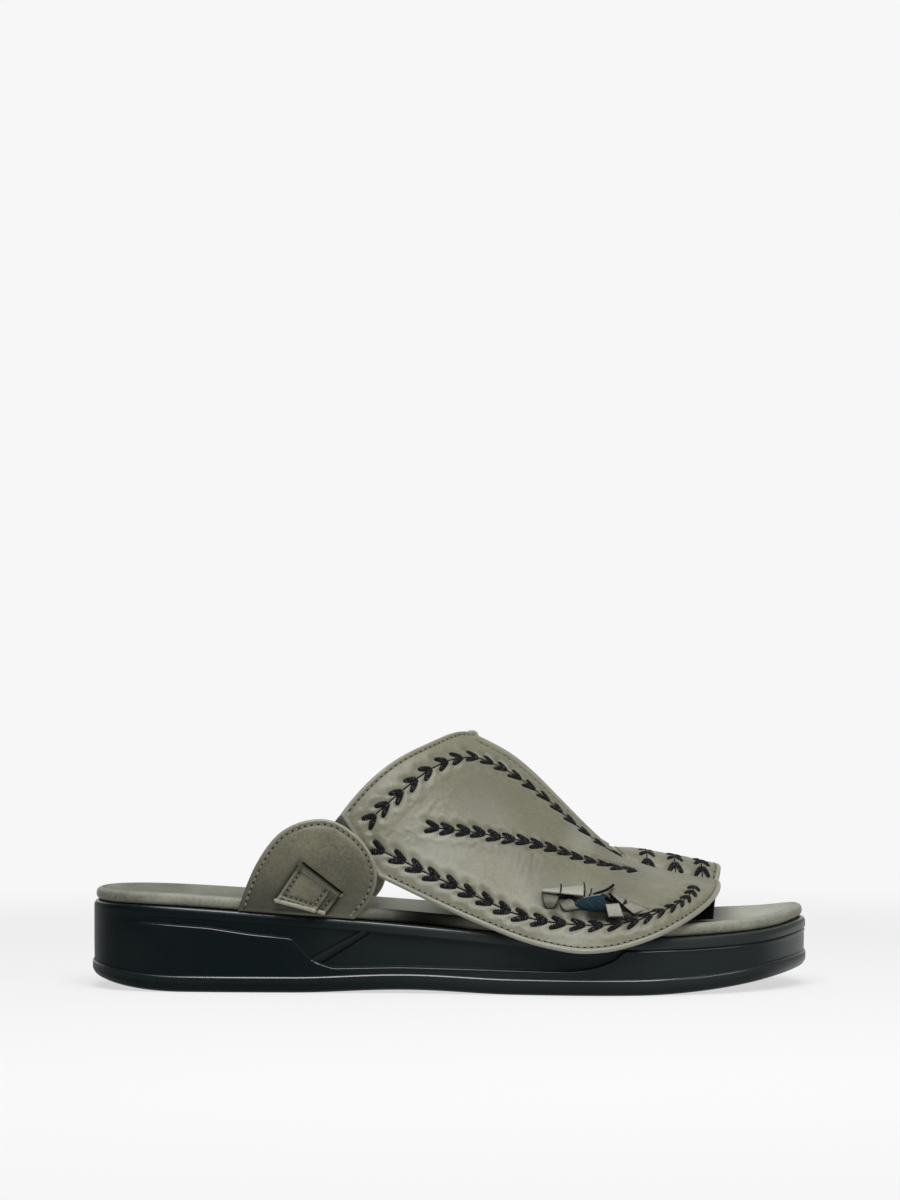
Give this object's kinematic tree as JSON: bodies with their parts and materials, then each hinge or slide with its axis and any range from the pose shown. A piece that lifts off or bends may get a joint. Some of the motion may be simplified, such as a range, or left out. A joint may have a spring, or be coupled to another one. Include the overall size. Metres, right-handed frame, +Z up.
{
  "type": "arabic sandal",
  "caption": "Right-foot slip-on sandal with a leaf-shaped stitched instep panel, big-toe ring, slotted side tabs and a moulded black sole.",
  "frame": {"origin": "middle of the bounding box on the floor plane under the sole", "axes": "+X from heel to toe, +Y to the inner (medial) side of the foot, +Z up"},
  "size_m": [0.286, 0.1054, 0.1016],
  "materials": {
    "outsole": "satin moulded",
    "insole_leather": "smooth padded leather",
    "upper_leather": "fine grain, soft sheen",
    "tab_leather": "fine grain, soft sheen",
    "strip_leather": "fine grain, soft sheen",
    "binding_thread": "wound thread"
  },
  "bodies": {
    "root": {"outsole": "outsole", "insole": "insole_leather", "upper": "upper_leather", "tab_outer": "tab_leather", "tab_inner": "tab_leather", "toe_ring": "upper_leather", "knot_strips": "strip_leather", "knot_binding": "binding_thread"}
  },
  "joints": []
}
